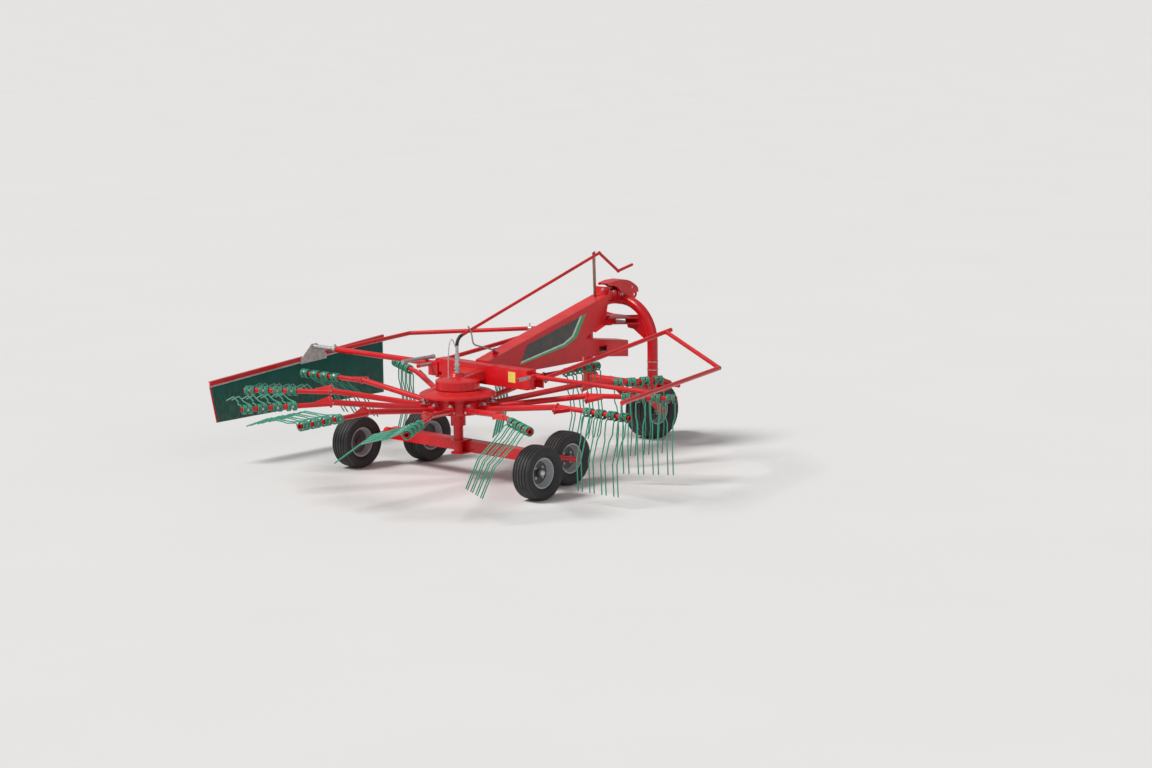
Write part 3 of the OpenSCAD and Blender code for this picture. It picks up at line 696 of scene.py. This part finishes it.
class HAYRAKE_OT_tine_arms(bpy.types.Operator):
    """Makes the twelve outer arms with their double springs and tines"""

    bl_idname = "hayrake.tine_arms"
    bl_label = "Tine arms"

    def execute(self, context):
        sizes = context.scene.hayrake_tines
        path = spring_path(sizes)
        tree = wire_tree()
        for number, _, place in sizes.arms():
            self.springs(sizes, tree, path, place, number)
            self.arm(sizes, place, number)
        return {"FINISHED"}

    def springs(self, sizes, tree, path, place, number):
        data = bpy.data.meshes.new(f"tine_springs_{number:02d}")
        data.from_pydata(path, [(i, i + 1) for i in range(len(path) - 1)], [])
        obj = linked(data.name, data)
        values = {
            "Wire radius": sizes.wire / 2,
            "Count": sizes.springs,
            "First": sizes.first_spring(),
            "Pitch": sizes.pitch,
            "Finish": bpy.data.materials["Spring green"],
        }
        grown(obj, tree, values)
        obj.data.transform(place)
        smooth_up_to(obj, 60)
        keep(obj, "rotor", [f"tine_arm_{number:02d}"])

    def arm(self, sizes, place, number):
        """Bent tube with an open end, and the ear and gusset of its bolted joint."""
        joint, face = sizes.joint_radius, sizes.joint_radius - 0.004
        bend = (sizes.first_spring() - 0.06, 0, 0.008)
        line = [place @ Vector(p) for p in ((face, 0, JOINT_LIFT), bend, (sizes.tip_radius, 0, 0))]
        shape = Shape().tube(line, sizes.tube / 2, 24, caps=(True, False))
        bore, depth = 0.8, 0.06
        tip, along = line[-1], (line[-1] - line[-2]).normalized()
        inner = [tip + (p - tip) * bore for p in shape.end]
        shape.rings([shape.end, inner, [p - along * depth for p in inner]], caps=(False, True))
        tilt = place @ joint_turn()
        foot, end = joint - 0.001, joint + 0.112
        gusset = [(foot, -0.058), (foot, -0.012), (end, -0.012), (end, -0.019)]
        shape.plate(gusset, 0.034, tilt @ placed((0, 0, 0), math.pi / 2))
        half = [(0.024, 0.018), (0.024, -0.050), (0.016, -0.060)]
        ear = [half[0], *((-y, z) for y, z in half), *reversed(half[1:])]
        # The ear's outline lies across the arm: its X, Y and Z are the arm's Y, Z and X
        across = Matrix(((0, 0, 1, 0), (1, 0, 0, 0), (0, 1, 0, 0), (0, 0, 0, 1)))
        shape.plate(ear, 0.008, tilt @ Matrix.Translation((face, 0, 0)) @ across)
        name, node = f"outer_arm_{number:02d}", f"tine_arm_{number:02d}"
        shape.piece(name, "rotor", "red_paint", [node], bevel=0.0015)


class HAYRAKE_OT_tyres(bpy.types.Operator):
    """Makes the ribbed tyres"""

    bl_idname = "hayrake.tyres"
    bl_label = "Tyres"

    def execute(self, context):
        tread = 0.02
        for wheel in WHEELS:
            low, high, middle = node_box(f"tyre_{wheel}")
            rim_low, rim_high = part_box(f"rim_{wheel}")
            r, w = (high.z - low.z) / 2, (high.y - low.y) / 2
            bead = (rim_high.z - rim_low.z) / 2 + 0.001
            shape = Shape().lathe(self.section(r, w, bead), placed(middle, math.pi / 2), 96)
            name, node = f"ribbed_tyre_{wheel}", f"tyre_{wheel}"
            obj = shape.piece(name, wheel_body(wheel), "tyre_rubber", [node], smooth=50)
            mark_outside(obj.data, "tread", middle, r - tread)
        return {"FINISHED"}

    @staticmethod
    def section(r, w, bead):
        """Closed section: outer side with a rim guard, ribbed tread, inner side, cavity's wall."""
        # Distance from the bead or the crown, and share of the half width
        wall = ((0, 0.72), (0.004, 0.80), (0.014, 0.86), (0.018, 0.90), (0.024, 0.93))
        guard = ((0.030, 0.975), (0.024, 0.965), (0.021, 0.975), (0.015, 0.93))
        side = [(bead + rise, share) for rise, share in wall] + [((r + bead) / 2, 1.0)]
        side += [(r - drop, share) for drop, share in guard]
        shoulder = (r - 0.008, 0.86)
        cavity = ((bead + 0.006, 0.66), (r - 0.04, 0.80), (r - 0.024, 0.5))
        profile = [(radius, w * share) for radius, share in (*side, shoulder)]
        # Each groove is drawn by its two lips and its two lower corners
        groove = ((0.0052, 0.0), (0.0042, 0.006), (-0.0042, 0.006), (-0.0052, 0.0))
        for share in (0.66, 0.34, 0.0, -0.34, -0.66):
            crown = r - 0.007 * share * share
            profile += [(crown - depth, share * w + offset) for offset, depth in groove]
        profile += [(radius, -w * share) for radius, share in (shoulder, *reversed(side))]
        profile += [(radius, -w * share) for radius, share in cavity]
        return profile + [(radius, w * share) for radius, share in reversed(cavity)]


class HAYRAKE_OT_wheel_fittings(bpy.types.Operator):
    """Puts hub caps and wheel nuts on the wheels"""

    bl_idname = "hayrake.wheel_fittings"
    bl_label = "Wheel fittings"

    def execute(self, context):
        cap = ((0, 0), (0.026, 0), (0.026, 0.010), (0.022, 0.020), (0.012, 0.026), (0, 0.028))
        nut_circle, nut_seat, cap_seat = 0.052, 0.010, 0.0365
        for wheel in WHEELS:
            middle = node_box(f"rim_{wheel}")[2]
            face = -1 if "right" in wheel or wheel == "jockey" else 1
            rows = []
            for degrees in (45, 135, 225, 315):
                x, z = math.cos(math.radians(degrees)), math.sin(math.radians(degrees))
                point = middle + Vector((nut_circle * x, face * nut_seat, nut_circle * z))
                rows.append((point, (0, face, 0), 0.010))
            bolts(f"wheel_nuts_{wheel}", wheel_body(wheel), rows)
            place = placed(middle + Vector((0, face * cap_seat, 0)), -face * math.pi / 2)
            Shape().lathe(cap, place, 32).piece(f"hub_cap_{wheel}", wheel_body(wheel), "zinc")
        return {"FINISHED"}


class HAYRAKE_OT_fasteners(bpy.types.Operator):
    """Puts the bolts on the rotor, the nose and the headstock, and the straps on its leg"""

    bl_idname = "hayrake.fasteners"
    bl_label = "Fasteners"

    def execute(self, context):
        self.rotor(context.scene.hayrake_tines)
        self.headstock()
        return {"FINISHED"}

    def rotor(self, sizes):
        roots, joints, clamps = [], [], []
        # An inner arm leaves its bearing housing here and rises to the joint
        housing_radius, housing_height = 0.302, 0.576
        reach = sizes.joint_radius - housing_radius
        rise = math.atan2(sizes.axis_height + JOINT_LIFT - housing_height, reach)
        lean = placed((housing_radius, 0, housing_height), -rise, "Y")
        # Place on the bearing housing, direction and size
        housing = (
            ((-0.034, 0, 0.031), UP, 0.019),
            ((-0.080, 0, 0.031), UP, 0.012),
            ((-0.022, 0.028, -0.010), LEFT, 0.011),
            ((-0.022, -0.028, -0.010), RIGHT, 0.011),
        )
        # Place on the ear across and up, and size
        ear_bolts = ((0, -0.044, 0.0135), (0.014, 0.006, 0.008), (-0.014, 0.006, 0.008))
        for _, radius, arm in sizes.arms():
            root = radius @ lean
            for point, way, size in housing:
                roots.append((root @ Vector(point), root.to_3x3() @ Vector(way), size))
            outward = arm.to_3x3() @ Vector(UP)
            for k in range(sizes.springs):
                bend = 0.0075 * (1 - k / sizes.springs)
                along = sizes.first_spring() + k * sizes.pitch
                clamps.append((arm @ Vector((along, 0, sizes.tube / 2 + bend)), outward, 0.0105))
            ear = arm @ joint_turn()
            inward = ear.to_3x3() @ Vector(REARWARD)
            for y, z, size in ear_bolts:
                joints.append((ear @ Vector((sizes.joint_radius - 0.0163, y, z)), inward, size))
            for y in (-0.0205, 0.0205):
                joints.append((ear @ Vector((sizes.joint_radius, y, -0.044)), -inward, 0.0035))
        bolts("root_bolts", "rotor", roots)
        bolts("spring_bolts", "rotor", clamps)
        bolts("arm_joint_bolts", "rotor", joints)

    def headstock(self):
        # Place from the rotor's axis, direction and size
        tower = (
            ((1.825, -0.040, 1.222), RIGHT, 0.013),
            ((1.931, -0.056, 1.272), RIGHT, 0.010),
            ((1.825, 0.040, 1.222), LEFT, 0.013),
            ((1.931, 0.056, 1.272), LEFT, 0.010),
            ((1.710, 0, 1.272), UP, 0.020),
        )
        nose = (
            ((1.700, -0.064, 1.263), RIGHT, 0.0085),
            ((1.700, 0.064, 1.263), LEFT, 0.0085),
            ((1.600, -0.045, 1.285), REARWARD, 0.012),
        )
        for body, name, rows in (
            ("headstock", "headstock_bolts", tower),
            ("frame", "nose_bolts", nose),
        ):
            bolts(name, body, [(at_rotor(*point), way, size) for point, way, size in rows])
        line = [at_rotor(1.600, -0.045, 1.285), at_rotor(1.640, -0.045, 1.285)]
        Shape().tube(line, 0.020, 24).piece("nose_tube", "frame", "red_paint", bevel=0.001)
        leg_x, leg_y, strap, strap_wire = 1.85, -0.345, 0.0435, 0.0028
        shape = Shape()
        for height in (0.645, 0.710):
            ring = [at_rotor(leg_x + strap * x, leg_y + strap * y, height) for x, y in circle(32)]
            shape.tube(ring + ring[:1], strap_wire, 8)
        shape.piece("leg_straps", "headstock", "zinc")


class HAYRAKE_OT_linkage(bpy.types.Operator):
    """Puts the crank's lever and the wire of the working height on the frame"""

    bl_idname = "hayrake.linkage"
    bl_label = "Crank lever and height wire"

    def execute(self, context):
        # Distance ahead of the rotor's axis, and height
        lever_y = -0.0183
        lever = ((0.400, 0.944), (0.154, 1.021), (0.142, 1.106), (0.105, 1.166))
        pin = [at_rotor(lever[0][0], y, lever[0][1]) for y in (-0.0123, -0.026)]
        path = rounded([at_rotor(x, lever_y, z) for x, z in lever], 0.035)
        shape = Shape().tube(path, 0.006, 12).tube(pin, 0.010, 16)
        shape.piece("crank_lever", "frame", "bare_steel", bevel=0.0008)
        wire = [(-0.096, 0.788), (-0.096, 0.930), (-0.084, 1.040), (-0.066, 1.085)]
        wire += [(-0.042, 1.076), (-0.0165, 1.022)]
        path = rounded([at_rotor(x, 0, z) for x, z in wire], 0.03)
        Shape().tube(path, 0.004, 12).piece("height_wire", "frame", "zinc")
        return {"FINISHED"}


class HAYRAKE_OT_guard_fittings(bpy.types.Operator):
    """Puts the clamp, the clip and the coloured ends on the guards and their hinge pins"""

    bl_idname = "hayrake.guard_fittings"
    bl_label = "Guard fittings"

    def execute(self, context):
        # Collar that clamps the sliding tube in the arm's open end
        _, high, middle = node_box("curtain_arm")
        bore, outside, near, far = 0.0186, 0.028, 0.001, 0.030
        centre = Vector((middle.x, high.y, 0.817))
        collar = [(bore, near), (outside, near), (outside, far), (bore, far)]
        shape = Shape().lathe(collar, placed(centre, -math.pi / 2), 40)
        shape.piece("arm_collar", "guard_left", "zinc", bevel=0.001)
        top = centre + Vector((0, (near + far) / 2, outside - 0.0002))
        rows = [(top, UP, 0.010), (top + Vector((0, 0, 0.009)), UP, 0.006)]
        bolts("collar_bolt", "guard_left", rows)
        # Spring clip on the left loop's front rail
        rail, along = at_rotor(1.5617, 0.7176, 0.9076), Vector((0.592, -1.058, 0.075)).normalized()
        shape = Shape().tube([rail - along * 0.014, rail + along * 0.014], 0.0185, 24)
        shape.tube([rail + Vector((0, 0, 0.015)), rail + Vector((0, 0, 0.046))], 0.005, 12)
        shape.piece("rail_clip", "guard_left", "zinc", bevel=0.001)
        # Dark red ends of the hinge pins' handles
        low, high, middle = node_box("hinge_pins")
        handle = 0.014
        shape = Shape()
        for y in (low.y + handle, high.y - handle):
            end = Vector((low.x, y, middle.z))
            shape.tube([end - Vector((0.004, 0, 0)), end + Vector((0.009, 0, 0))], 0.0152, 24)
        shape.piece("handle_ends", "frame", "red_paint", bevel=0.0015)
        return {"FINISHED"}


class HAYRAKE_OT_curtain(bpy.types.Operator):
    """Hangs the windrow curtain from its rail"""

    bl_idname = "hayrake.curtain"
    bl_label = "Windrow curtain"

    def execute(self, context):
        sizes = context.scene.hayrake_curtain
        low, high, middle = node_box("curtain_sheet")
        # The top slopes and the rear edge leans: both are read from the sheet's own corners
        corners = [v.co for v in NODES["curtain_sheet"].data.vertices]
        near = 0.003
        rear_top = max(co.z for co in corners if co.x < low.x + near)
        rear_foot = min(co.x for co in corners if co.z < low.z + near)
        shape = Shape()
        grid = []
        for j in range(sizes.rows + 1):
            down = j / sizes.rows
            start = low.x + (rear_foot - low.x) * down
            row = []
            for i in range(sizes.columns + 1):
                along = i / sizes.columns
                top = rear_top + (high.z - rear_top) * along
                x = start + (high.x - start) * along
                z = top + (low.z + sizes.inset - top) * down
                y = middle.y + sizes.wave * self.swing(x, z, down)
                row.append(shape.mesh.verts.new((x, y, z)))
            grid.append(row)
        for upper, lower in zip(grid, grid[1:]):
            for i in range(sizes.columns):
                shape.face((upper[i], upper[i + 1], lower[i + 1], lower[i]))
        edge = [row[0].co.copy() for row in grid]
        obj = shape.plain("windrow_curtain", ["Curtain cloth"])
        uv = obj.data.uv_layers.new(name="UVMap")
        for loop in obj.data.loops:
            co = obj.data.vertices[loop.vertex_index].co
            uv.data[loop.index].uv = (co.x - low.x, co.z - low.z)
        solid = obj.modifiers.new("Thickness", "SOLIDIFY")
        with_settings(solid, thickness=sizes.thickness, offset=0)
        obj.data.shade_smooth()
        keep(obj, "curtain", ["curtain_sheet"])
        self.trim(sizes, edge, rear_top, high)
        return {"FINISHED"}

    @staticmethod
    def swing(x, z, down):
        """How far the cloth stands out of its plane: long and short waves, none at the top."""
        long_wave = noise.noise(Vector((x * 2.4, 3.7, 0.4)))
        short_wave = noise.noise(Vector((x * 6.5, 9.1, z * 0.7)))
        return down**0.8 * (long_wave + 0.5 * short_wave)

    def trim(self, sizes, edge, rear_top, high):
        """The pale strip that clamps the cloth to the rail, and the red batten on its rear edge."""
        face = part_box("curtain_rail")[0].y
        rear, front = Vector((edge[0].x, face, rear_top)), Vector((high.x, face, high.z))
        proud, sunk, tall = -0.0018, 0.001, 0.013
        corners = ((proud, 0.0), (sunk, 0.0), (sunk, tall), (proud, tall))
        rings = [[end + Vector((0, y, z)) for y, z in corners] for end in (rear, front)]
        Shape().rings(rings).piece("curtain_strip", "curtain", "zinc")
        seat = Vector((0, proud, tall / 2))
        shares = [(k + 0.5) / sizes.bolts for k in range(sizes.bolts)]
        rows = [(rear.lerp(front, share) + seat, RIGHT, 0.005) for share in shares]
        bolts("curtain_strip_bolts", "curtain", rows)
        width, near, far = 0.012, -0.0015, -0.0052
        corners = ((0.0, far), (width, far), (width, near), (0.0, near))
        rings = [[point + Vector((x, y, 0)) for x, y in corners] for point in edge]
        Shape().rings(rings).piece("curtain_batten", "curtain", "red_paint")


class HAYRAKE_OT_markings(bpy.types.Operator):
    """Puts the blank panels and the label on the beam and the cross box"""

    bl_idname = "hayrake.markings"
    bl_label = "Blank panels and label"

    def execute(self, context):
        # Outlines in the beam's side plane: the stripes lie along the panel's lower and front edge
        start, border = (0.613, 0.81), [(1.372, 1.123), (1.262, 0.947), (1.135, 0.890)]
        outlines = (
            [start, (0.694, 0.956), (1.279, 1.098)],
            [start, (0.628, 0.835), (1.105, 0.918), (1.205, 0.965), (1.300, 1.104)],
            [start, (0.620, 0.821), (1.115, 0.906), (1.222, 0.955), (1.324, 1.110)],
        )
        names = ("Panel grey", "Stripe pale", "Stripe green")
        film, sunk = 0.0004, 0.001
        low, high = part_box("main_beam")
        half = (high.y - low.y) / 2
        for side, word in ((-1, "right"), (1, "left")):
            shape = Shape()
            for number, outline in enumerate(outlines):
                faces = [side * (half + out) for out in (-sunk, film * (number + 1))]
                rings = [[at_rotor(x, y, z) for x, z in outline + border] for y in faces]
                shape.rings(rings, number)
            shape.piece(f"beam_panel_{word}", "frame", "black_rubber", finishes=names)
        # The label stands on the cross box's rear face
        back, label = ROTOR_X + 0.17, 0.0012
        right, left, bottom, top = -0.441, -0.368, 0.768, 0.848
        corners = ((left, top), (right, top), (right, bottom), (left, bottom))
        rings = [[(x, y, z) for y, z in corners] for x in (back + sunk, back - label)]
        Shape().rings(rings).piece("blank_label", "frame", "zinc", finishes=["Label yellow"])
        return {"FINISHED"}


class HAYRAKE_OT_stage(bpy.types.Operator):
    """Sets the camera, the floor and the soft studio light"""

    bl_idname = "hayrake.stage"
    bl_label = "Stage"

    def execute(self, context):
        scene = context.scene
        settings = scene.hayrake_stage
        scene.view_settings.view_transform = "Standard"
        self.camera(scene, settings)
        self.floor(settings)
        self.lights(scene, settings)
        return {"FINISHED"}

    def camera(self, scene, settings):
        """The camera stands behind the rake on its right and looks forward and slightly down."""
        heading, down, roll = 0.741, 0.1691, -0.0105
        data = bpy.data.cameras.new("Photo view")
        film = {"sensor_width": 36.0, "sensor_fit": "HORIZONTAL", "clip_end": 500.0}
        camera = linked("Photo view", with_settings(data, lens=settings.lens, **film))
        place = placed(at_rotor(-15.1914, -15.1101, 4.3814), heading - math.pi / 2, "Z")
        tilt = Matrix.Rotation(math.pi / 2 - down, 4, "X") @ Matrix.Rotation(roll, 4, "Z")
        camera.matrix_world = place @ tilt
        scene.camera = camera

    def floor(self, settings):
        reach = 220
        shape = Shape()
        shape.face([shape.mesh.verts.new((reach * x, reach * y, 0.0)) for x, y in circle(96)])
        look = Look("Floor")
        mottle = look.remap(look.speckle(0.6), 0.3, 0.7)
        tone = look.blend(mottle, tinted(settings.floor, 0.985), settings.floor)
        look.shade({"Base Color": tone, "Roughness": 0.85})
        shape.finish("floor", ["Floor"])

    def lights(self, scene, settings):
        # Name, direction towards the light, softness in radians, strength
        rows = (
            ("Key", (-0.55, 0.30, 0.78), 0.35, settings.key),
            ("Fill", (-0.25, -0.85, 0.45), 0.9, settings.fill),
        )
        for name, toward, softness, strength in rows:
            data = bpy.data.lights.new(name, "SUN")
            obj = linked(name, with_settings(data, angle=softness, energy=strength))
            obj.rotation_euler = (-Vector(toward)).to_track_quat("-Z", "Y").to_euler()
        # The camera sees a pale world, glossy faces mirror a dimmer one, and the rest is ambient
        world = bpy.data.worlds.new("Soft studio")
        world.use_nodes = True
        sky = Nodes(world.node_tree)
        rays = sky.add("ShaderNodeLightPath").outputs
        seen = sky.product(rays["Is Camera Ray"], 0.9)
        mirrored = sky.product(rays["Is Glossy Ray"], 0.36)
        strength = sky.calc("MAXIMUM", sky.calc("MAXIMUM", seen, mirrored), settings.world)
        inputs = {"Color": (0.96, 0.97, 1.0, 1.0), "Strength": strength}
        sky.fill(world.node_tree.nodes["Background"], inputs)
        scene.world = world


# ---------------------------- panel and start

OPERATORS = (
    HAYRAKE_OT_stage,
    HAYRAKE_OT_paint,
    HAYRAKE_OT_tine_arms,
    HAYRAKE_OT_tyres,
    HAYRAKE_OT_wheel_fittings,
    HAYRAKE_OT_fasteners,
    HAYRAKE_OT_linkage,
    HAYRAKE_OT_guard_fittings,
    HAYRAKE_OT_curtain,
    HAYRAKE_OT_markings,
)
GROUPS = {
    "hayrake_tines": TineSizes,
    "hayrake_curtain": CurtainSizes,
    "hayrake_finishes": Finishes,
    "hayrake_stage": StageSettings,
}


class HAYRAKE_PT_panel(bpy.types.Panel):
    """Lists the sizes, the colours and the steps"""

    bl_idname = "HAYRAKE_PT_panel"
    bl_label = "Hay Rake"
    bl_space_type = "VIEW_3D"
    bl_region_type = "UI"
    bl_category = "Hay Rake"

    def draw(self, context):
        for name in GROUPS:
            group = getattr(context.scene, name)
            box = self.layout.box()
            for key in group.__annotations__:
                box.prop(group, key)
        for operator in OPERATORS:
            self.layout.operator(operator.bl_idname)


CLASSES = (*GROUPS.values(), *OPERATORS, HAYRAKE_PT_panel)


def register():
    for kind in CLASSES:
        bpy.utils.register_class(kind)
    for name, group in GROUPS.items():
        setattr(bpy.types.Scene, name, bpy.props.PointerProperty(type=group))


def unregister():
    for name in GROUPS:
        delattr(bpy.types.Scene, name)
    for kind in reversed(CLASSES):
        bpy.utils.unregister_class(kind)


def main():
    register()
    for operator in OPERATORS:
        group, _, action = operator.bl_idname.partition(".")
        getattr(getattr(bpy.ops, group), action)()


if __name__ == "__main__":
    main()
